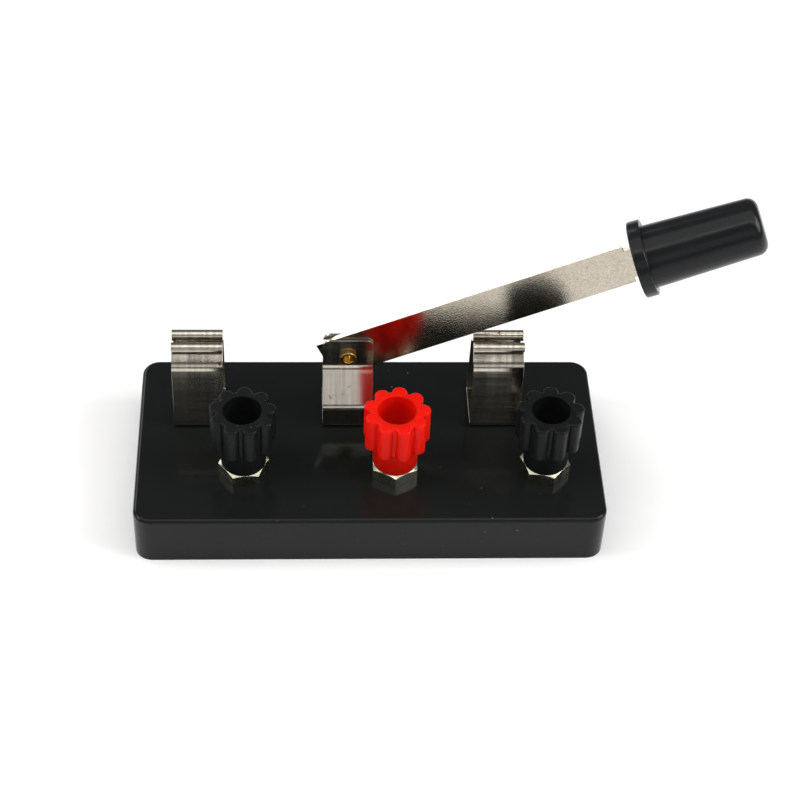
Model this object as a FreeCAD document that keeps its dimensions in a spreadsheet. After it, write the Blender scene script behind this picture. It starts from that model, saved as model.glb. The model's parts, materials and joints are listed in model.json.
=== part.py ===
import FreeCAD, Part
import math
import os
import Sketcher

# Single-pole double-throw knife switch on a moulded base, millimetres and degrees.
# X runs along the base, +Y to the back, +Z up; the origin is the middle of the underside.
# Three stations share one layout: a sheet-metal clip at the back and a binding post at the
# front, joined by a link strip under the base. The middle clip carries the blade's pivot.

V = FreeCAD.Vector
doc = FreeCAD.newDocument("KnifeSwitch")

SIZES = {
    # moulded base
    "base_length": 106.0,
    "base_depth": 51.0,
    "base_height": 13.0,
    "base_wall": 3.0,
    "base_deck": 3.0,
    "base_corner": 4.0,
    "base_edge": 0.9,
    "rib_width": 2.5,
    "rib_notch": 13.0,
    "notch_depth": 1.4,
    # stations
    "station_pitch": 34.15,
    "clip_shift": 4.9,
    "post_shift": 5.6,
    "post_line": 9.8,
    "blade_line": 9.85,
    # clips of bent strip
    "strip_gauge": 0.5,
    "clip_width": 11.5,
    "foot_half": 6.2,
    "foot_bend": 0.75,
    "jaw_lean": 5.0,
    "jaw_shoulder_lean": 52.0,
    "jaw_shoulder_bend": 2.5,
    "lip_bend": 1.05,
    "lip_half": 2.1,
    "lip_rise": 21.2,
    "bracket_lean": 32.0,
    "bracket_bend": 3.0,
    "cheek_half": 1.0,
    "cheek_start": 15.4,
    "cheek_top": 22.6,
    "cheek_corner": 1.8,
    # pivot
    "pivot_height": 30.75,
    "rivet_shank": 3.0,
    "rivet_bore": 2.2,
    "rivet_lip": 3.7,
    "rivet_lip_length": 0.85,
    "rivet_rim": 0.15,
    "rivet_front": 2.25,
    "rivet_head": 5.0,
    "rivet_head_gauge": 0.6,
    "rivet_fit": 0.04,
    "pivot_fit": 0.1,
    # blade and handle
    "blade_gauge": 1.2,
    "blade_width": 11.0,
    "blade_heel": 5.5,
    "blade_reach": 67.0,
    "blade_rise": 24.25,
    "tang_width": 8.2,
    "tang_length": 24.0,
    "tang_droop": 2.2,
    "tang_fit": 0.1,
    "handle_gap": 1.8,
    "flange_diameter": 17.2,
    "flange_gauge": 2.9,
    "grip_root": 14.1,
    "grip_tip": 12.65,
    "handle_length": 28.3,
    "handle_round": 2.4,
    "flange_round": 0.4,
    # binding posts
    "stud_diameter": 6.0,
    "stud_hole": 6.4,
    "stud_rise": 9.0,
    "bolt_flats": 10.0,
    "bolt_head": 4.0,
    "nut_flats": 10.0,
    "nut_height": 3.2,
    "nut_face": 9.6,
    "nut_gap": 0.05,
    "thread_fit": 0.1,
    # terminal knob and its insert
    "insert_diameter": 8.0,
    "insert_length": 5.1,
    "collar_foot": 10.1,
    "collar_diameter": 10.6,
    "collar_height": 7.0,
    "knob_height": 15.85,
    "knob_core": 11.9,
    "lobe_diameter": 3.4,
    "lobe_circle": 11.6,
    "lobe_count": 9.0,
    "lobe_round": 0.45,
    "socket_diameter": 8.66,
    "socket_depth": 10.0,
    "knob_web_hole": 6.4,
    # hardware of the clips
    "screw_diameter": 3.0,
    "screw_hole": 3.3,
    "screw_head": 5.5,
    "screw_head_height": 1.9,
    "screw_round": 0.7,
    "screw_slot": 0.8,
    "screw_slot_depth": 1.0,
    "screw_length": 7.9,
    "small_nut_flats": 5.5,
    "small_nut_height": 2.4,
    "small_nut_face": 5.2,
    "washer_diameter": 7.0,
    "washer_gauge": 0.5,
    # link strips under the base
    "link_width": 8.0,
    "link_gauge": 0.8,
    "link_round": 3.99,
}

sheet = doc.addObject("Spreadsheet::Sheet", "Sizes")
for row, (alias, size) in enumerate(SIZES.items(), start=1):
    sheet.set(f"A{row}", alias)
    sheet.set(f"B{row}", str(size))
    sheet.setAlias(f"B{row}", alias)
doc.recompute()

STATIONS = ("left", "centre", "right")
STATION_X = {
    "left": "-Sizes.station_pitch",
    "centre": "0",
    "right": "Sizes.station_pitch",
}
# the nuts and knobs stop at different angles when they are tightened
NUT_TURN = {"left": 6.0, "centre": 30.0, "right": -12.5}
KNOB_TURN = {"left": 7.0, "centre": 3.0, "right": 6.0}
CLIP_NAMES = {"left": "left_jaw", "centre": "pivot_bracket", "right": "right_jaw"}

subparts = []


def value(expression):
    """The number that an expression over the sheet gives now."""
    result = sheet.evalExpression(expression)
    return float(getattr(result, "Value", result))


def bind(item, **expressions):
    """Bind properties, written with __ for a dot, to expressions over the sheet."""
    for name, expression in expressions.items():
        item.setExpression(name.replace("__", "."), expression)


def place(item, x="0", y="0", z="0", axis=None, angle="0"):
    """Bind where an item stands and how far it is turned about one axis."""
    turn = FreeCAD.Rotation(axis or V(0, 0, 1), value(angle))
    item.Placement = FreeCAD.Placement(V(value(x), value(y), value(z)), turn)
    bind(item, Placement__Base__x=x, Placement__Base__y=y, Placement__Base__z=z)
    if axis:
        bind(item, Placement__Rotation__Angle=angle)


def finished(item, label):
    """Register an object as one physical piece under its own label."""
    item.Label = label
    subparts.append(item)
    return item


# ---------------------------------------------------------------- sketch helpers
def origin_item(body, role):
    """One of a body's own origin planes or axes."""
    return next(f for f in body.Origin.OriginFeatures if f.Role == role)


def new_sketch(body, role, name, lift=None):
    """A sketch on one of the body's origin planes, lifted off it by an expression."""
    sketch = body.newObject("Sketcher::SketchObject", name)
    sketch.AttachmentSupport = (origin_item(body, role), "")
    sketch.MapMode = "FlatFace"
    if lift:
        bind(sketch, AttachmentOffset__Base__z=lift)
    return sketch


def fix(sketch, kind, expression, *where):
    """Add one dimension and bind it to an expression."""
    index = sketch.addConstraint(Sketcher.Constraint(kind, *where, value(expression)))
    sketch.setExpression(f"Constraints[{index}]", expression)


def fix_point(sketch, geometry, end, across, up):
    """Dimension a point from the sketch's origin."""
    fix(sketch, "DistanceX", across, -1, 1, geometry, end)
    fix(sketch, "DistanceY", up, -1, 1, geometry, end)


def draw_outline(sketch, corners):
    """A closed outline of straight lines with every corner dimensioned."""
    points = [V(value(across), value(up), 0) for across, up in corners]
    count = len(points)
    for i in range(count):
        sketch.addGeometry(Part.LineSegment(points[i], points[(i + 1) % count]))
    for i in range(count):
        sketch.addConstraint(Sketcher.Constraint("Coincident", i, 2, (i + 1) % count, 1))
    for i, (across, up) in enumerate(corners):
        fix_point(sketch, i, 1, across, up)


def draw_rectangle(sketch, length, height, across="0", up="0"):
    """A rectangle about a centre point."""
    left, right = f"{across} - {length} / 2", f"{across} + {length} / 2"
    low, high = f"{up} - {height} / 2", f"{up} + {height} / 2"
    draw_outline(sketch, [(left, low), (right, low), (right, high), (left, high)])


def draw_circle(sketch, diameter, across="0", up="0"):
    """A circle dimensioned by its diameter and centre."""
    centre = V(value(across), value(up), 0)
    index = sketch.addGeometry(Part.Circle(centre, V(0, 0, 1), value(diameter) / 2))
    fix(sketch, "Diameter", diameter, index)
    fix_point(sketch, index, 3, across, up)


# ---------------------------------------------------------------- feature helpers
def new_body(name):
    return doc.addObject("PartDesign::Body", name)


def add_feature(body, kind, name, **settings):
    """A feature of a body with its plain settings."""
    feature = body.newObject(f"PartDesign::{kind}", name)
    for key, setting in settings.items():
        setattr(feature, key, setting)
    return feature


def pad(body, name, sketch, length, symmetric=False):
    side = "Symmetric" if symmetric else "One side"
    feature = add_feature(body, "Pad", name, Profile=sketch, SideType=side)
    bind(feature, Length=length)
    doc.recompute()
    return feature


def pocket(body, name, sketch, depth=None, upward=False, symmetric=False):
    """Cut a sketch into the body, and stop if nothing was cut."""
    before = body.Shape.Volume
    side = "Symmetric" if symmetric else "One side"
    feature = add_feature(body, "Pocket", name, Profile=sketch, Reversed=upward, SideType=side)
    if depth:
        bind(feature, Length=depth)
    else:
        feature.Type = "ThroughAll"
    doc.recompute()
    if feature.Shape.isNull() or feature.Shape.Volume >= before - 1e-6:
        raise RuntimeError(f"{name} cuts nothing")
    return feature


def revolve(body, kind, name, sketch, axis):
    feature = add_feature(body, kind, name, Profile=sketch, ReferenceAxis=(sketch, [axis]))
    feature.Angle = 360
    doc.recompute()
    return feature


def repeat_along(body, name, feature, span, count):
    """Repeat a feature along +X over a span."""
    axis = (origin_item(body, "X_Axis"), [""])
    row = add_feature(body, "LinearPattern", name, Originals=[feature], Direction=axis)
    row.Occurrences = count
    bind(row, Length=span)
    body.Tip = row
    doc.recompute()
    return row


def round_edges(body, kind, name, base, amount, wanted):
    """Fillet or chamfer the edges of the base feature that a test picks."""
    edges = [f"Edge{i}" for i, edge in enumerate(base.Shape.Edges, start=1) if wanted(edge)]
    if not edges:
        raise RuntimeError(f"{name} finds no edge")
    feature = add_feature(body, kind, name, Base=(base, edges))
    bind(feature, **{"Radius" if kind == "Fillet" else "Size": amount})
    doc.recompute()
    return feature


def near(a, b, slack=1e-4):
    return abs(a - b) < slack


def level(edge, height):
    """True for an edge that lies wholly at one height."""
    return near(edge.BoundBox.ZMin, height) and near(edge.BoundBox.ZMax, height)


def upright(edge):
    """True for a straight edge along Z."""
    return isinstance(edge.Curve, Part.Line) and near(abs(edge.Curve.Direction.z), 1)


# ---------------------------------------------------------------- base
def make_base():
    """Hollow moulded base, open underneath, with one long rib under the middle."""
    body = new_body("base_body")
    outline = new_sketch(body, "XY_Plane", "base_outline")
    draw_rectangle(outline, "Sizes.base_length", "Sizes.base_depth")
    block = pad(body, "base_block", outline, "Sizes.base_height")
    corners = round_edges(body, "Fillet", "base_corners", block, "Sizes.base_corner", upright)
    top = value("Sizes.base_height")
    rim = round_edges(
        body, "Fillet", "base_rim", corners, "Sizes.base_edge", lambda edge: level(edge, top)
    )
    body.Tip = rim

    hollow = new_sketch(body, "XY_Plane", "base_hollow")
    inner_length = "(Sizes.base_length - 2 * Sizes.base_wall)"
    inner_depth = "(Sizes.base_depth - 2 * Sizes.base_wall)"
    draw_rectangle(hollow, inner_length, inner_depth)
    ceiling = "Sizes.base_height - Sizes.base_deck"
    pocket(body, "base_cavity", hollow, ceiling, upward=True)

    rib = new_sketch(body, "XY_Plane", "base_rib_outline")
    draw_rectangle(rib, f"({inner_length} + Sizes.base_wall)", "Sizes.rib_width")
    pad(body, "base_rib", rib, ceiling)

    # the rib is notched where each link strip crosses it, in proportion along the strip
    notch = new_sketch(body, "XY_Plane", "rib_notch_outline", f"{ceiling} - Sizes.notch_depth")
    run = "(Sizes.post_shift + Sizes.clip_shift) / (Sizes.post_line + Sizes.blade_line)"
    crossing = f"Sizes.post_shift - Sizes.post_line * {run}"
    draw_rectangle(
        notch, "Sizes.rib_notch", "(2 * Sizes.rib_width)", f"{crossing} - Sizes.station_pitch"
    )
    first_notch = pocket(body, "rib_notch", notch, "Sizes.notch_depth", upward=True)
    repeat_along(body, "rib_notches", first_notch, "2 * Sizes.station_pitch", 3)

    holes = {
        "post": ("Sizes.stud_hole", "Sizes.post_shift", "-Sizes.post_line"),
        "clip": ("Sizes.screw_hole", "-Sizes.clip_shift", "Sizes.blade_line"),
    }
    for name, (diameter, shift, line) in holes.items():
        sketch = new_sketch(body, "XY_Plane", f"{name}_hole_outline")
        draw_circle(sketch, diameter, f"{shift} - Sizes.station_pitch", line)
        hole = pocket(body, f"{name}_hole", sketch, "Sizes.base_height", upward=True)
        repeat_along(body, f"{name}_holes", hole, "2 * Sizes.station_pitch", 3)
    finished(body, "base")


# ---------------------------------------------------------------- clips of bent strip
def bent_strip(sketch, pieces):
    """A path of lines and arcs, each piece tangent to the next.

    A line is (start, end); an arc is (centre, radius, from angle, to angle, start end),
    where start end says which of the arc's two ends the path reaches first.
    """
    ends = []
    for piece in pieces:
        if len(piece) == 2:
            index = sketch.addGeometry(Part.LineSegment(*piece))
            ends.append((index, 1, 2))
        else:
            centre, radius, low, high, first = piece
            circle = Part.Circle(centre, V(0, 0, 1), radius)
            arc = Part.ArcOfCircle(circle, math.radians(low), math.radians(high))
            ends.append((sketch.addGeometry(arc), first, 3 - first))
    for (before, _, last), (after, first, _) in zip(ends, ends[1:]):
        sketch.addConstraint(Sketcher.Constraint("Tangent", before, last, after, first))
    return [index for index, _, _ in ends]


def heading(lean):
    """Unit vector that leans from straight up towards the blade."""
    return V(math.sin(math.radians(lean)), math.cos(math.radians(lean)), 0)


def outward(lean):
    """Unit normal of that heading, away from the blade."""
    return V(-math.cos(math.radians(lean)), math.sin(math.radians(lean)), 0)


def meet(point_a, along_a, point_b, along_b):
    """Where two straight lines of the path cross."""
    apart = point_b - point_a
    cross = along_a.x * along_b.y - along_a.y * along_b.x
    return point_a + along_a * ((apart.x * along_b.y - apart.y * along_b.x) / cross)


def draw_foot(lean):
    """Floor line and bottom bend of a leaf, to the point where the leaf starts up."""
    middle = value("Sizes.strip_gauge / 2")
    bend = value("Sizes.foot_bend")
    centre = V(bend - value("Sizes.foot_half"), middle + bend, 0)
    floor = (V(0, middle, 0), V(centre.x, middle, 0))
    return floor, (centre, bend, 180 - lean, 270, 2), centre + outward(lean) * bend


def fix_foot(sketch, floor, bend):
    """Dimensions of the floor line and bottom bend."""
    fix_point(sketch, floor, 1, "0", "Sizes.strip_gauge / 2")
    sketch.addConstraint(Sketcher.Constraint("Horizontal", floor))
    fix(sketch, "Radius", "Sizes.foot_bend", bend)
    fix(sketch, "DistanceX", "Sizes.foot_bend - Sizes.foot_half", -1, 1, bend, 3)


def draw_jaw(sketch):
    """Half of a jaw: a leaf that bows in towards the blade, and a lip rolled outwards."""
    lean = value("Sizes.jaw_lean")
    shoulder = value("Sizes.jaw_shoulder_lean")
    bend = value("Sizes.jaw_shoulder_bend")
    roll = value("Sizes.lip_bend")
    floor, foot, start = draw_foot(lean)
    lip_centre = V(-value("Sizes.lip_half"), value("Sizes.lip_rise"), 0)
    neck = lip_centre - outward(shoulder) * roll
    corner = meet(start, heading(lean), neck, heading(shoulder))
    setback = bend * math.tan(math.radians(shoulder - lean) / 2)
    leaf_end = corner - heading(lean) * setback
    bend_centre = leaf_end - outward(lean) * bend
    geometry = bent_strip(sketch, [
        floor,
        foot,
        (start, leaf_end),
        (bend_centre, bend, 180 - shoulder, 180 - lean, 2),
        (corner + heading(shoulder) * setback, neck),
        (lip_centre, roll, -shoulder, 180, 1),
    ])
    floor_line, foot_bend, leaf, shoulder_bend, ramp, lip = geometry
    fix_foot(sketch, floor_line, foot_bend)
    fix(sketch, "Radius", "Sizes.jaw_shoulder_bend", shoulder_bend)
    fix(sketch, "Radius", "Sizes.lip_bend", lip)
    fix_point(sketch, lip, 3, "-Sizes.lip_half", "Sizes.lip_rise")
    fix(sketch, "Angle", "90 - Sizes.jaw_lean", leaf)
    fix(sketch, "Angle", "90 - Sizes.jaw_shoulder_lean", ramp)
    sketch.addConstraint(Sketcher.Constraint("Horizontal", lip, 3, lip, 2))


def draw_bracket(sketch):
    """Half of the pivot bracket: leaf, slope towards the blade, and a flat cheek."""
    lean = value("Sizes.bracket_lean")
    bend = value("Sizes.bracket_bend")
    floor, foot, start = draw_foot(0)
    setback = bend * math.tan(math.radians(lean) / 2)
    cheek_start = V(-value("Sizes.cheek_half"), value("Sizes.cheek_start"), 0)
    cheek_top = V(cheek_start.x, value("Sizes.cheek_top"), 0)
    upper_corner = cheek_start - heading(0) * setback
    lower_corner = meet(start, heading(0), upper_corner, heading(lean))
    leaf_end = lower_corner - heading(0) * setback
    slope_start = lower_corner + heading(lean) * setback
    slope_end = upper_corner - heading(lean) * setback
    geometry = bent_strip(sketch, [
        floor,
        foot,
        (start, leaf_end),
        (leaf_end - outward(0) * bend, bend, 180 - lean, 180, 2),
        (slope_start, slope_end),
        (slope_end + outward(lean) * bend, bend, -lean, 0, 1),
        (cheek_start, cheek_top),
    ])
    floor_line, foot_bend, leaf, lower_bend, slope, upper_bend, cheek = geometry
    fix_foot(sketch, floor_line, foot_bend)
    fix(sketch, "Radius", "Sizes.bracket_bend", lower_bend)
    fix(sketch, "Radius", "Sizes.bracket_bend", upper_bend)
    fix(sketch, "Angle", "90 - Sizes.bracket_lean", slope)
    sketch.addConstraint(Sketcher.Constraint("Vertical", leaf))
    fix_point(sketch, cheek, 1, "-Sizes.cheek_half", "Sizes.cheek_start")
    fix_point(sketch, cheek, 2, "-Sizes.cheek_half", "Sizes.cheek_top")


def make_clip(station):
    """A U of bent strip, screwed down through its floor."""
    label = CLIP_NAMES[station]
    is_bracket = station == "centre"
    body = new_body(f"{label}_body")
    section = new_sketch(body, "XZ_Plane", f"{label}_section")
    draw_rectangle(
        section, "Sizes.clip_width", "Sizes.strip_gauge", "0", "Sizes.strip_gauge / 2"
    )
    path = new_sketch(body, "YZ_Plane", f"{label}_path")
    if is_bracket:
        draw_bracket(path)
    else:
        draw_jaw(path)
    doc.recompute()
    edges = [f"Edge{i + 1}" for i in range(len(path.Shape.Edges))]
    leaf = add_feature(body, "AdditivePipe", f"{label}_leaf", Profile=section)
    leaf.Spine = (path, edges)
    doc.recompute()
    mirror = add_feature(body, "Mirrored", f"{label}_leaves", Originals=[leaf])
    mirror.MirrorPlane = (origin_item(body, "XZ_Plane"), [""])
    body.Tip = mirror
    doc.recompute()
    hole = new_sketch(body, "XY_Plane", f"{label}_screw_outline")
    draw_circle(hole, "Sizes.screw_hole")
    last = pocket(body, f"{label}_screw_hole", hole, "2 * Sizes.strip_gauge", upward=True)
    if is_bracket:
        eye = new_sketch(body, "XZ_Plane", f"{label}_eye_outline")
        rise = "Sizes.pivot_height - Sizes.base_height"
        draw_circle(eye, "Sizes.rivet_shank + Sizes.rivet_fit", "0", rise)
        eyes = pocket(body, f"{label}_eyes", eye, "Sizes.clip_width", symmetric=True)
        top = value("Sizes.cheek_top")
        last = round_edges(
            body, "Fillet", f"{label}_corners", eyes, "Sizes.cheek_corner",
            lambda edge: level(edge, top) and isinstance(edge.Curve, Part.Line)
            and near(abs(edge.Curve.Direction.y), 1),
        )
    body.Tip = last
    place(
        body, f"{STATION_X[station]} - Sizes.clip_shift", "Sizes.blade_line", "Sizes.base_height"
    )
    finished(body, label)


# ---------------------------------------------------------------- pivot, blade and handle
def make_rivet():
    """Hollow rivet through both cheeks and the blade, with its lip to the front."""
    body = new_body("pivot_rivet_body")
    sketch = new_sketch(body, "XY_Plane", "rivet_profile")
    bore = "Sizes.rivet_bore / 2"
    shank = "Sizes.rivet_shank / 2"
    lip = "Sizes.rivet_lip / 2"
    head = "Sizes.rivet_head / 2"
    cheek_outside = "Sizes.cheek_half + Sizes.strip_gauge / 2"
    front = "-Sizes.rivet_front"
    lip_back = f"{front} + Sizes.rivet_lip_length"
    head_inside = cheek_outside
    head_outside = f"{cheek_outside} + Sizes.rivet_head_gauge"
    draw_outline(sketch, [
        (bore, front),
        (lip, front),
        (lip, lip_back),
        (shank, lip_back),
        (shank, head_inside),
        (head, head_inside),
        (head, head_outside),
        (bore, head_outside),
    ])
    turned = revolve(body, "Revolution", "rivet_turned", sketch, "V_Axis")
    front_end = value(front)

    def rolled(edge):
        box = edge.BoundBox
        return near(box.YMin, front_end) and near(box.YMax, front_end)

    rim = round_edges(body, "Fillet", "rivet_rim", turned, "Sizes.rivet_rim", rolled)
    body.Tip = rim
    place(body, "-Sizes.clip_shift", "Sizes.blade_line", "Sizes.pivot_height")
    finished(body, "pivot_rivet")


def make_blade():
    """Flat blade: heel, long contact length, shoulders and a tang that droops a little."""
    body = new_body("blade_body")
    sketch = new_sketch(body, "XZ_Plane", "blade_outline")
    half = "Sizes.blade_width / 2"
    tang = "Sizes.tang_width / 2"
    reach = "Sizes.blade_reach"
    far = f"{reach} + Sizes.tang_length * cos(Sizes.tang_droop)"
    drop = "Sizes.tang_length * sin(Sizes.tang_droop)"
    draw_outline(sketch, [
        ("-Sizes.blade_heel", f"-{half}"),
        (reach, f"-{half}"),
        (reach, f"-{tang}"),
        (far, f"-{tang} - {drop}"),
        (far, f"{tang} - {drop}"),
        (reach, tang),
        (reach, half),
        ("-Sizes.blade_heel", half),
    ])
    pad(body, "blade_plate", sketch, "Sizes.blade_gauge", symmetric=True)
    eye = new_sketch(body, "XZ_Plane", "blade_eye_outline")
    draw_circle(eye, "Sizes.rivet_shank + Sizes.pivot_fit")
    body.Tip = pocket(body, "blade_eye", eye, "2 * Sizes.blade_gauge", symmetric=True)
    place(
        body, "-Sizes.clip_shift", "Sizes.blade_line", "Sizes.pivot_height",
        V(0, -1, 0), "Sizes.blade_rise",
    )
    finished(body, "blade")


def make_handle():
    """Moulded grip with a flange, pushed onto the tang along its own axis."""
    body = new_body("handle_body")
    sketch = new_sketch(body, "XY_Plane", "handle_profile")
    face = "Sizes.handle_gap"
    flange_end = f"{face} + Sizes.flange_gauge"
    tip = f"{face} + Sizes.handle_length"
    draw_outline(sketch, [
        (face, "0"),
        (face, "Sizes.flange_diameter / 2"),
        (flange_end, "Sizes.flange_diameter / 2"),
        (flange_end, "Sizes.grip_root / 2"),
        (tip, "Sizes.grip_tip / 2"),
        (tip, "0"),
    ])
    turned = revolve(body, "Revolution", "handle_turned", sketch, "H_Axis")
    tip_x = value(tip)
    flange_x = (value(face), value(flange_end))
    flange_radius = value("Sizes.flange_diameter / 2")

    def at_tip(edge):
        return near(edge.BoundBox.XMin, tip_x) and near(edge.BoundBox.XMax, tip_x)

    def at_flange(edge):
        box = edge.BoundBox
        flat = near(box.XMin, box.XMax) and min(abs(box.XMin - x) for x in flange_x) < 1e-4
        return flat and near(box.ZMax, flange_radius, 1e-3)

    end = round_edges(body, "Fillet", "handle_end", turned, "Sizes.handle_round", at_tip)
    rim = round_edges(body, "Fillet", "handle_flange", end, "Sizes.flange_round", at_flange)
    body.Tip = rim
    slot = new_sketch(body, "YZ_Plane", "handle_slot_outline")
    draw_rectangle(
        slot, "(Sizes.blade_gauge + Sizes.tang_fit)", "(Sizes.tang_width + Sizes.tang_fit)"
    )
    depth = "Sizes.tang_length + 4 * Sizes.tang_fit"
    body.Tip = pocket(body, "handle_slot", slot, depth, upward=True)
    turn = "(Sizes.blade_rise - Sizes.tang_droop)"
    place(
        body,
        "-Sizes.clip_shift + Sizes.blade_reach * cos(Sizes.blade_rise)",
        "Sizes.blade_line",
        "Sizes.pivot_height + Sizes.blade_reach * sin(Sizes.blade_rise)",
        V(0, -1, 0), turn,
    )
    finished(body, "handle")


# ---------------------------------------------------------------- threaded hardware
def hexagon(name, flats, height, face, underneath=False):
    """A hexagonal block whose outer face is chamfered to a round bearing face."""
    block = doc.addObject("Part::Prism", f"{name}_hexagon")
    block.Polygon = 6
    bind(block, Circumradius=f"{flats} / sqrt(3)", Height=height)
    cone = doc.addObject("Part::Cone", f"{name}_chamfer")
    wide = f"{face} / 2 + {height} * sqrt(3)"
    narrow = f"{face} / 2"
    low, high = (narrow, wide) if underneath else (wide, narrow)
    bind(cone, Radius1=low, Radius2=high, Height=height)
    solid = doc.addObject("Part::Common", f"{name}_block")
    solid.Base = block
    solid.Tool = cone
    return solid


def cylinder(name, diameter, height, z="0"):
    rod = doc.addObject("Part::Cylinder", name)
    bind(rod, Radius=f"{diameter} / 2", Height=height)
    place(rod, z=z)
    return rod


def cut(name, base, tool):
    result = doc.addObject("Part::Cut", name)
    result.Base = base
    result.Tool = tool
    return result


def fuse(name, *pieces):
    result = doc.addObject("Part::MultiFuse", name)
    result.Shapes = list(pieces)
    result.Refine = True
    return result


def make_post_bolt(station, x):
    """Hexagon-head bolt from underneath whose thread is the post."""
    label = f"{station}_post_bolt"
    head = hexagon(label, "Sizes.bolt_flats", "Sizes.bolt_head", "Sizes.nut_face", True)
    under = "Sizes.base_deck + Sizes.link_gauge"
    shank = cylinder(
        f"{label}_shank", "Sizes.stud_diameter",
        f"Sizes.bolt_head + {under} + Sizes.stud_rise",
    )
    bolt = fuse(f"{label}_solid", head, shank)
    place(bolt, x, "-Sizes.post_line", f"Sizes.base_height - ({under}) - Sizes.bolt_head")
    finished(bolt, label)


def make_post_nut(station, x):
    label = f"{station}_post_nut"
    block = hexagon(label, "Sizes.nut_flats", "Sizes.nut_height", "Sizes.nut_face")
    bore = cylinder(f"{label}_bore", "(Sizes.stud_diameter + Sizes.thread_fit)", "Sizes.nut_height")
    nut = cut(f"{label}_solid", block, bore)
    place(nut, x, "-Sizes.post_line", "Sizes.base_height", V(0, 0, 1), str(NUT_TURN[station]))
    finished(nut, label)


def make_insert(station, x):
    """Brass sleeve, tapped for the post, inside the foot of the knob."""
    label = f"{station}_knob_insert"
    sleeve = cylinder(f"{label}_sleeve", "Sizes.insert_diameter", "Sizes.insert_length")
    bore = cylinder(
        f"{label}_bore", "(Sizes.stud_diameter + Sizes.thread_fit)", "Sizes.insert_length"
    )
    insert = cut(f"{label}_solid", sleeve, bore)
    place(insert, x, "-Sizes.post_line", "Sizes.base_height + Sizes.nut_height + Sizes.nut_gap")
    finished(insert, label)


def make_knob(station, x):
    """Fluted terminal knob: collar below, lobed grip above, with a deep round socket."""
    label = f"{station}_knob"
    body = new_body(f"{label}_body")
    grip_height = "(Sizes.knob_height - Sizes.collar_height)"
    profile = new_sketch(body, "XZ_Plane", f"{label}_profile")
    draw_outline(profile, [
        ("0", "0"),
        ("Sizes.collar_foot / 2", "0"),
        ("Sizes.collar_diameter / 2", "Sizes.collar_height"),
        ("Sizes.knob_core / 2", "Sizes.collar_height"),
        ("Sizes.knob_core / 2", "Sizes.knob_height"),
        ("0", "Sizes.knob_height"),
    ])
    revolve(body, "Revolution", f"{label}_turned", profile, "V_Axis")
    lobe = new_sketch(body, "XY_Plane", f"{label}_lobe_outline", "Sizes.collar_height")
    draw_circle(lobe, "Sizes.lobe_diameter", "Sizes.lobe_circle / 2", "0")
    first_lobe = pad(body, f"{label}_lobe", lobe, grip_height)
    lobes = add_feature(body, "PolarPattern", f"{label}_lobes", Originals=[first_lobe])
    lobes.Axis = (origin_item(body, "Z_Axis"), [""])
    lobes.Angle = 360
    bind(lobes, Occurrences="Sizes.lobe_count")
    body.Tip = lobes
    doc.recompute()
    top = value("Sizes.knob_height")
    rounded = round_edges(
        body, "Fillet", f"{label}_crown", lobes, "Sizes.lobe_round", lambda edge: level(edge, top)
    )
    body.Tip = rounded
    inside = new_sketch(body, "XZ_Plane", f"{label}_inside")
    insert_top = "Sizes.insert_length + Sizes.nut_gap"
    insert_wall = "(Sizes.insert_diameter + Sizes.thread_fit) / 2"
    socket_floor = "Sizes.knob_height - Sizes.socket_depth"
    draw_outline(inside, [
        ("0", "0"),
        (insert_wall, "0"),
        (insert_wall, insert_top),
        ("Sizes.knob_web_hole / 2", insert_top),
        ("Sizes.knob_web_hole / 2", socket_floor),
        ("Sizes.socket_diameter / 2", socket_floor),
        ("Sizes.socket_diameter / 2", "Sizes.knob_height"),
        ("0", "Sizes.knob_height"),
    ])
    body.Tip = revolve(body, "Groove", f"{label}_bored", inside, "V_Axis")
    place(
        body, x, "-Sizes.post_line", "Sizes.base_height + Sizes.nut_height + Sizes.nut_gap",
        V(0, 0, 1), str(KNOB_TURN[station]),
    )
    finished(body, label)


def make_clip_screw(station, x):
    """Slotted pan-head screw that holds a clip down."""
    label = f"{station}_clip_screw"
    shank = cylinder(f"{label}_shank", "Sizes.screw_diameter", "Sizes.screw_length")
    head = cylinder(
        f"{label}_head", "Sizes.screw_head", "Sizes.screw_head_height", "Sizes.screw_length"
    )
    blank = fuse(f"{label}_blank", shank, head)
    doc.recompute()
    top = value("Sizes.screw_length + Sizes.screw_head_height")
    rounded = doc.addObject("Part::Fillet", f"{label}_rounded")
    rounded.Base = blank
    radius = value("Sizes.screw_round")
    rounded.Edges = [
        (i, radius, radius)
        for i, edge in enumerate(blank.Shape.Edges, start=1) if level(edge, top)
    ]
    slot = doc.addObject("Part::Box", f"{label}_slot")
    bind(
        slot, Length="2 * Sizes.screw_head", Width="Sizes.screw_slot",
        Height="2 * Sizes.screw_slot_depth",
    )
    place(
        slot, "-Sizes.screw_head", "-Sizes.screw_slot / 2",
        "Sizes.screw_length + Sizes.screw_head_height - Sizes.screw_slot_depth",
    )
    screw = cut(f"{label}_solid", rounded, slot)
    place(
        screw, x, "Sizes.blade_line",
        "Sizes.base_height + Sizes.strip_gauge - Sizes.screw_length",
    )
    finished(screw, label)


def make_clip_washer(station, x):
    label = f"{station}_clip_washer"
    disc = cylinder(f"{label}_disc", "Sizes.washer_diameter", "Sizes.washer_gauge")
    hole = cylinder(f"{label}_hole", "Sizes.screw_hole", "Sizes.washer_gauge")
    washer = cut(f"{label}_solid", disc, hole)
    under = "Sizes.base_height - Sizes.base_deck - Sizes.link_gauge"
    place(washer, x, "Sizes.blade_line", f"{under} - Sizes.washer_gauge")
    finished(washer, label)


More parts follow.
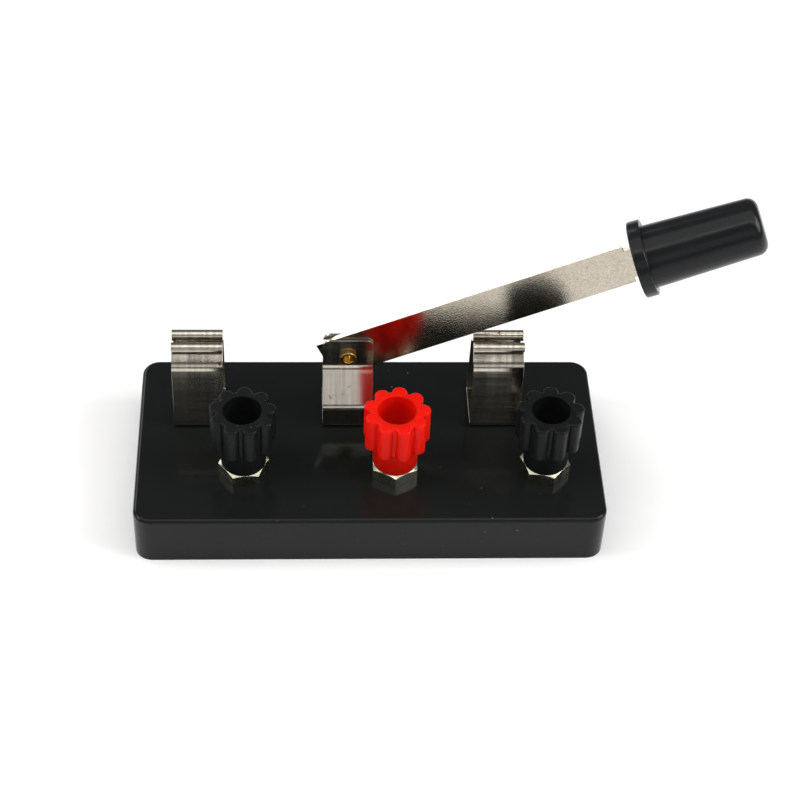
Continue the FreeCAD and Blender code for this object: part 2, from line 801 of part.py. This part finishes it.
def make_clip_nut(station, x):
    label = f"{station}_clip_nut"
    block = hexagon(
        label, "Sizes.small_nut_flats", "Sizes.small_nut_height", "Sizes.small_nut_face", True
    )
    bore = cylinder(
        f"{label}_bore", "(Sizes.screw_diameter + Sizes.thread_fit)", "Sizes.small_nut_height"
    )
    nut = cut(f"{label}_solid", block, bore)
    under = "Sizes.base_height - Sizes.base_deck - Sizes.link_gauge - Sizes.washer_gauge"
    place(nut, x, "Sizes.blade_line", f"{under} - Sizes.small_nut_height")
    finished(nut, label)


def make_link(station, x):
    """Brass strip under the deck from the post to the clip's screw."""
    label = f"{station}_link_strip"
    body = new_body(f"{label}_body")
    across = "(Sizes.post_shift + Sizes.clip_shift)"
    back = "(Sizes.post_line + Sizes.blade_line)"
    span = f"sqrt(pow({across}; 2) + pow({back}; 2))"
    sketch = new_sketch(body, "XY_Plane", f"{label}_outline")
    draw_rectangle(
        sketch, f"({span} + Sizes.link_width)", "Sizes.link_width", f"{span} / 2"
    )
    plate = pad(body, f"{label}_plate", sketch, "Sizes.link_gauge")
    rounded = round_edges(
        body, "Fillet", f"{label}_ends", plate, "Sizes.link_round", upright
    )
    body.Tip = rounded
    for name, diameter, along in (
        ("post", "Sizes.stud_hole", "0"),
        ("screw", "Sizes.screw_hole", span),
    ):
        hole = new_sketch(body, "XY_Plane", f"{label}_{name}_outline")
        draw_circle(hole, diameter, along)
        body.Tip = pocket(body, f"{label}_{name}_hole", hole, "Sizes.link_gauge", upward=True)
    place(
        body, x, "-Sizes.post_line",
        "Sizes.base_height - Sizes.base_deck - Sizes.link_gauge",
        V(0, 0, 1),
        f"90 deg + atan({across} / {back})",
    )
    finished(body, label)


# ---------------------------------------------------------------- the whole switch
make_base()
for station in STATIONS:
    post_x = f"{STATION_X[station]} + Sizes.post_shift"
    clip_x = f"{STATION_X[station]} - Sizes.clip_shift"
    make_clip(station)
    make_clip_screw(station, clip_x)
    make_clip_washer(station, clip_x)
    make_clip_nut(station, clip_x)
    make_link(station, post_x)
    make_post_bolt(station, post_x)
    make_post_nut(station, post_x)
    make_insert(station, post_x)
    make_knob(station, post_x)
make_rivet()
make_blade()
make_handle()

doc.recompute()

for item in doc.Objects:
    if "Invalid" in item.State or "Error" in item.State:
        raise RuntimeError(f"{item.Label} did not recompute: {item.State}")
for item in subparts:
    if item.Shape.isNull() or not item.Shape.isValid() or len(item.Shape.Solids) != 1:
        raise RuntimeError(f"{item.Label} is not one valid solid")

os.makedirs("parts", exist_ok=True)
for item in subparts:
    item.Shape.exportStep(f"parts/{item.Label}.step")
    box = item.Shape.BoundBox
    print(
        f"{item.Label:20s} volume {item.Shape.Volume:9.2f}"
        f"  x {box.XMin:7.2f} {box.XMax:7.2f}  y {box.YMin:7.2f} {box.YMax:7.2f}"
        f"  z {box.ZMin:6.2f} {box.ZMax:6.2f}"
    )
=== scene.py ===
import json
import math

import bpy
from mathutils import Matrix, Vector

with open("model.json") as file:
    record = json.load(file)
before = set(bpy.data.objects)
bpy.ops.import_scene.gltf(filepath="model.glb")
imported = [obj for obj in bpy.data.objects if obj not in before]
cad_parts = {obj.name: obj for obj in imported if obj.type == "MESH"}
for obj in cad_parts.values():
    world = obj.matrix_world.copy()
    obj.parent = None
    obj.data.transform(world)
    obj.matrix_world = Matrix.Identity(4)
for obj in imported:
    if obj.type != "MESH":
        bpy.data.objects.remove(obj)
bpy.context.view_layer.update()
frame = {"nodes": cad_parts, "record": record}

NODES = frame["nodes"]
MM = 0.001


# ---------------------------------------------------------------- shader graph helpers
class Graph:
    """A material's node tree with short calls for the nodes used here.

    Texture scales are in features per metre; lengths are in metres.
    """

    def __init__(self, name):
        self.material = bpy.data.materials.new(name)
        self.material.use_nodes = True
        self.tree = self.material.node_tree
        self.shader = self.tree.nodes["Principled BSDF"]
        self.place = self.tree.nodes.new("ShaderNodeTexCoord").outputs["Object"]

    def node(self, kind, **settings):
        made = self.tree.nodes.new(kind)
        for key, setting in settings.items():
            setattr(made, key, setting)
        return made

    def feed(self, socket, source):
        """Link an output to a socket, or set the socket's own value."""
        if isinstance(source, bpy.types.NodeSocket):
            self.tree.links.new(source, socket)
        else:
            socket.default_value = source

    def surface(self, **values):
        for key, source in values.items():
            self.feed(self.shader.inputs[key.replace("_", " ")], source)

    def stretch(self, scale, turn=(0, 0, 0)):
        """Object coordinates turned and then scaled along each axis."""
        turned = self.node("ShaderNodeMapping")
        self.feed(turned.inputs["Vector"], self.place)
        turned.inputs["Rotation"].default_value = turn
        scaled = self.node("ShaderNodeMapping")
        self.feed(scaled.inputs["Vector"], turned.outputs["Vector"])
        scaled.inputs["Scale"].default_value = scale
        return scaled.outputs["Vector"]

    def noise(self, scale, detail=4.0, roughness=0.55, place=None):
        texture = self.node("ShaderNodeTexNoise")
        self.feed(texture.inputs["Vector"], place or self.place)
        texture.inputs["Scale"].default_value = scale
        texture.inputs["Detail"].default_value = detail
        texture.inputs["Roughness"].default_value = roughness
        return texture.outputs["Fac"]

    def cells(self, scale, place=None):
        """Distance to the nearest of a scatter of points, in cell widths."""
        texture = self.node("ShaderNodeTexVoronoi")
        self.feed(texture.inputs["Vector"], place or self.place)
        texture.inputs["Scale"].default_value = scale
        return texture.outputs["Distance"]

    def remap(self, source, low, high, to_low=0.0, to_high=1.0):
        """Stretch a range of a value to another range, clamped."""
        ranged = self.node("ShaderNodeMapRange")
        self.feed(ranged.inputs["Value"], source)
        for socket, number in (
            ("From Min", low), ("From Max", high), ("To Min", to_low), ("To Max", to_high)
        ):
            ranged.inputs[socket].default_value = number
        return ranged.outputs["Result"]

    def spread(self, noise, to_low, to_high):
        """Spread the usual range of a noise over another range."""
        return self.remap(noise, 0.3, 0.7, to_low, to_high)

    def math(self, operation, first, second):
        node = self.node("ShaderNodeMath", operation=operation)
        self.feed(node.inputs[0], first)
        self.feed(node.inputs[1], second)
        return node.outputs["Value"]

    def blend(self, share, first, second):
        """Mix two colours, each a link or a plain (r, g, b)."""
        node = self.node("ShaderNodeMix", data_type="RGBA")
        self.feed(node.inputs["Factor"], share)
        for socket, colour in ((node.inputs[6], first), (node.inputs[7], second)):
            self.feed(socket, colour if isinstance(colour, bpy.types.NodeSocket) else (*colour, 1))
        return node.outputs[2]

    def times(self, first, second):
        """Multiply two colours."""
        node = self.node("ShaderNodeMix", data_type="RGBA", blend_type="MULTIPLY")
        node.inputs["Factor"].default_value = 1.0
        self.feed(node.inputs[6], first)
        self.feed(node.inputs[7], second)
        return node.outputs[2]

    def flecks(self, scale, radius, cover):
        """Small dots that show only where the cover value is high."""
        dots = self.remap(self.cells(scale), 0.0, radius, 1.0, 0.0)
        return self.math("MULTIPLY", dots, cover)

    def scratches(self, amount):
        """Thin short lines in a few directions."""
        lines = None
        for turn in (0.35, 1.25, 2.3):
            distance = self.cells(300, self.stretch((1, 0.05, 1), (0, 0, turn)))
            line = self.remap(distance, 0.0, 0.05, amount, 0.0)
            lines = self.math("MAXIMUM", lines, line) if lines else line
        return lines

    def bump(self, height, distance, strength=1.0, normal=None):
        node = self.node("ShaderNodeBump")
        self.feed(node.inputs["Height"], height)
        node.inputs["Distance"].default_value = distance
        node.inputs["Strength"].default_value = strength
        if normal:
            self.feed(node.inputs["Normal"], normal)
        return node.outputs["Normal"]

    def soft_edges(self, radius):
        node = self.node("ShaderNodeBevel", samples=4)
        node.inputs["Radius"].default_value = radius
        return node.outputs["Normal"]


# ---------------------------------------------------------------- materials
def black_base():
    """Polished black moulding with haze, fine scratches and dust."""
    g = Graph("base_moulding")
    haze = g.noise(38, 3)
    grain = g.noise(900, 2)
    dust = g.flecks(330, 0.07, g.remap(g.noise(45, 2), 0.56, 0.66))
    worn = g.remap(g.noise(25, 1), 0.45, 0.6)
    scratched = g.math("MULTIPLY", g.scratches(0.5), worn)
    marks = g.math("MAXIMUM", dust, g.math("MULTIPLY", scratched, 0.35))
    deep = g.blend(haze, (0.0070, 0.0088, 0.0080), (0.0102, 0.0122, 0.0113))
    g.surface(
        Base_Color=g.blend(marks, deep, (0.30, 0.31, 0.29)),
        Roughness=g.spread(haze, 0.09, 0.16),
        Specular_IOR_Level=0.18,
        Normal=g.bump(grain, 0.01 * MM, 0.25, g.soft_edges(0.3 * MM)),
    )
    return g.material


def black_knob():
    """Black moulding, a little dusty, with pale flecks where the lobes are rubbed."""
    g = Graph("black_knob")
    cloud = g.noise(300, 3)
    grain = g.noise(2500, 2)
    fleck = g.flecks(700, 0.10, g.remap(g.noise(160, 1), 0.6, 0.68))
    deep = g.blend(cloud, (0.0050, 0.0068, 0.0061), (0.0082, 0.0106, 0.0098))
    g.surface(
        Base_Color=g.blend(fleck, deep, (0.28, 0.32, 0.28)),
        Roughness=g.spread(cloud, 0.30, 0.42),
        Specular_IOR_Level=0.12,
        Normal=g.bump(grain, 0.01 * MM, 0.4, g.soft_edges(0.2 * MM)),
    )
    return g.material


def red_knob():
    """Slightly translucent red moulding, a little uneven in colour."""
    g = Graph("red_knob")
    cloud = g.noise(220, 3)
    grain = g.noise(2500, 2)
    g.surface(
        Base_Color=g.blend(cloud, (0.66, 0.0050, 0.0006), (0.80, 0.0084, 0.0014)),
        Roughness=g.spread(cloud, 0.34, 0.46),
        Specular_IOR_Level=0.14,
        Subsurface_Weight=0.8,
        Subsurface_Radius=(1.0, 0.05, 0.03),
        Subsurface_Scale=5 * MM,
        Normal=g.bump(grain, 0.01 * MM, 0.4, g.soft_edges(0.2 * MM)),
    )
    return g.material


def handle_black():
    """Glossy black grip with a few pale flecks."""
    g = Graph("handle_moulding")
    cloud = g.noise(150, 3)
    grain = g.noise(1800, 2)
    fleck = g.flecks(420, 0.06, g.remap(g.noise(90, 1), 0.62, 0.7))
    deep = g.blend(cloud, (0.0070, 0.0082, 0.0090), (0.0100, 0.0115, 0.0122))
    g.surface(
        Base_Color=g.blend(fleck, deep, (0.35, 0.36, 0.36)),
        Roughness=g.spread(cloud, 0.19, 0.26),
        Specular_IOR_Level=0.22,
        Normal=g.bump(grain, 0.01 * MM, 0.25, g.soft_edges(0.2 * MM)),
    )
    return g.material


def plated_strip():
    """Bright nickel plate with rolling streaks, faint press marks and a few brown stains."""
    g = Graph("plated_spring_strip")
    lengthwise = g.stretch((1, 0.035, 0.035))
    crosswise = g.stretch((0.03, 0.03, 1))
    streaks = g.noise(1700, 4, place=lengthwise)
    broad = g.noise(420, 3, place=lengthwise)
    pressed = g.noise(300, 2, place=crosswise)
    cloud = g.noise(120, 4)
    stain = g.remap(g.noise(520, 5, 0.7), 0.62, 0.70, 0.0, 0.8)
    tint = g.blend(cloud, (0.58, 0.535, 0.455), (0.68, 0.64, 0.57))
    dulled = g.blend(g.remap(streaks, 0.35, 0.65), (0.80, 0.78, 0.74), (1.0, 1.0, 1.0))
    dents = g.bump(pressed, 0.09 * MM, 1.0, g.soft_edges(0.16 * MM))
    g.surface(
        Base_Color=g.blend(stain, g.times(tint, dulled), (0.17, 0.075, 0.03)),
        Metallic=1.0,
        Roughness=g.spread(broad, 0.13, 0.21),
        Normal=g.bump(streaks, 0.01 * MM, 0.45, dents),
    )
    return g.material


def plated_blade():
    """Nickel plate with a satin, gritty grain and small brown stains."""
    g = Graph("blade_plate")
    grit = g.noise(2800, 2, 0.6)
    speckle = g.noise(2300, 3, 0.7)
    cloud = g.noise(90, 4)
    patch = g.remap(g.noise(85, 2), 0.47, 0.58, 0.0, 0.4)
    stain = g.math("MULTIPLY", g.remap(g.noise(620, 5, 0.75), 0.53, 0.62), patch)
    tint = g.blend(cloud, (0.55, 0.502, 0.42), (0.63, 0.58, 0.495))
    flecked = g.blend(g.remap(speckle, 0.38, 0.62), (0.76, 0.75, 0.72), (1.0, 1.0, 1.0))
    g.surface(
        Base_Color=g.blend(stain, g.times(tint, flecked), (0.32, 0.20, 0.12)),
        Metallic=1.0,
        Roughness=g.spread(cloud, 0.11, 0.16),
        Normal=g.bump(grit, 0.022 * MM, 1.0, g.soft_edges(0.14 * MM)),
    )
    return g.material


def plated_steel():
    """Warm plate of the nuts, bolts, screws and washers."""
    g = Graph("plated_hardware")
    cloud = g.noise(400, 4)
    grain = g.noise(2600, 3)
    g.surface(
        Base_Color=g.blend(cloud, (0.42, 0.42, 0.31), (0.62, 0.61, 0.49)),
        Metallic=1.0,
        Roughness=g.spread(cloud, 0.18, 0.32),
        Normal=g.bump(grain, 0.01 * MM, 0.4, g.soft_edges(0.15 * MM)),
    )
    return g.material


def brass(name, deep, bright):
    """Cloudy brass between two tones."""
    g = Graph(name)
    cloud = g.noise(500, 4)
    g.surface(
        Base_Color=g.blend(cloud, deep, bright),
        Metallic=1.0,
        Roughness=g.spread(cloud, 0.14, 0.28),
        Normal=g.soft_edges(0.1 * MM),
    )
    return g.material


MATERIALS = {
    "base_moulding": black_base(),
    "plated_spring_strip": plated_strip(),
    "blade_plate": plated_blade(),
    "plated_hardware": plated_steel(),
    "brass_parts": brass("brass_parts", (0.62, 0.40, 0.11), (0.80, 0.57, 0.22)),
    "rivet_brass": brass("rivet_brass", (0.42, 0.26, 0.055), (0.66, 0.44, 0.13)),
    "black_knob": black_knob(),
    "red_knob": red_knob(),
    "handle_moulding": handle_black(),
}

for subpart in frame["record"]["subparts"]:
    node = NODES[subpart["node"]]
    node.data.materials.clear()
    node.data.materials.append(MATERIALS[subpart["material_slot"]])


# ---------------------------------------------------------------- floor, light and camera
FLOOR_HALF = 3.0
LIGHT_TARGET = (0, 0, 0.02)
WARM = (1.0, 0.98, 0.95)
NEUTRAL = (1, 1, 1)

# name: (place, (width, depth), power in watts, colour)
SOFTBOXES = {
    "overhead": ((0.0, 0.0, 0.62), (1.1, 0.44), 1.9, WARM),
    "overhead_edge": ((0.0, -0.25, 0.60), (1.1, 0.06), 0.9, WARM),
    "front": ((0.0, -0.72, 0.36), (1.0, 0.30), 0.6, NEUTRAL),
    "rear_left": ((-0.45, 0.62, 0.46), (0.5, 0.32), 1.6, NEUTRAL),
    "right": ((0.62, -0.12, 0.45), (0.4, 0.4), 3.0, NEUTRAL),
    "left": ((-0.66, -0.05, 0.42), (0.35, 0.35), 2.0, NEUTRAL),
}

CAMERA_PLACE = (-0.01655, -0.3172, 0.34813)
CAMERA_HEADING = math.radians(4.204)
CAMERA_DIP = math.radians(45.42)
CAMERA_ROLL = math.radians(2.95)
CAMERA_LENS = 90.04
CAMERA_SENSOR = 36


def make_floor():
    """Plain white floor."""
    half = FLOOR_HALF
    mesh = bpy.data.meshes.new("floor")
    corners = [(-half, -half, 0), (half, -half, 0), (half, half, 0), (-half, half, 0)]
    mesh.from_pydata(corners, [], [(0, 1, 2, 3)])
    floor = bpy.data.objects.new("floor", mesh)
    bpy.context.scene.collection.objects.link(floor)
    g = Graph("floor_white")
    paper = g.noise(30, 2)
    g.surface(
        Base_Color=g.blend(paper, (0.96, 0.96, 0.96), (0.98, 0.98, 0.98)),
        Roughness=0.8,
        Emission_Color=(1, 1, 1, 1),
        Emission_Strength=0.06,
    )
    floor.data.materials.append(g.material)


def make_softbox(name, place, size, power, colour):
    """A rectangular softbox that faces the switch."""
    data = bpy.data.lights.new(name, "AREA")
    data.shape = "RECTANGLE"
    data.size, data.size_y = size
    data.energy = power
    data.color = colour
    light = bpy.data.objects.new(name, data)
    bpy.context.scene.collection.objects.link(light)
    light.location = place
    towards = Vector(LIGHT_TARGET) - Vector(place)
    light.rotation_euler = towards.to_track_quat("-Z", "Y").to_euler()


def make_camera():
    """Looks down at the switch from the front and a little from the left."""
    data = bpy.data.cameras.new("camera")
    data.sensor_width = CAMERA_SENSOR
    data.lens = CAMERA_LENS
    data.clip_start, data.clip_end = 0.01, 20
    camera = bpy.data.objects.new("camera", data)
    bpy.context.scene.collection.objects.link(camera)
    turn = (
        Matrix.Rotation(-CAMERA_HEADING, 4, "Z")
        @ Matrix.Rotation(math.pi / 2 - CAMERA_DIP, 4, "X")
        @ Matrix.Rotation(CAMERA_ROLL, 4, "Z")
    )
    camera.matrix_world = Matrix.Translation(CAMERA_PLACE) @ turn
    bpy.context.scene.camera = camera


def make_world():
    """Dim, slightly cool surroundings."""
    world = bpy.data.worlds.new("studio")
    world.use_nodes = True
    background = world.node_tree.nodes["Background"]
    background.inputs["Color"].default_value = (0.93, 0.96, 1.0, 1)
    background.inputs["Strength"].default_value = 0.16
    bpy.context.scene.world = world


make_floor()
make_world()
for softbox_name, softbox in SOFTBOXES.items():
    make_softbox(softbox_name, *softbox)
make_camera()
bpy.context.scene.view_settings.view_transform = "Standard"
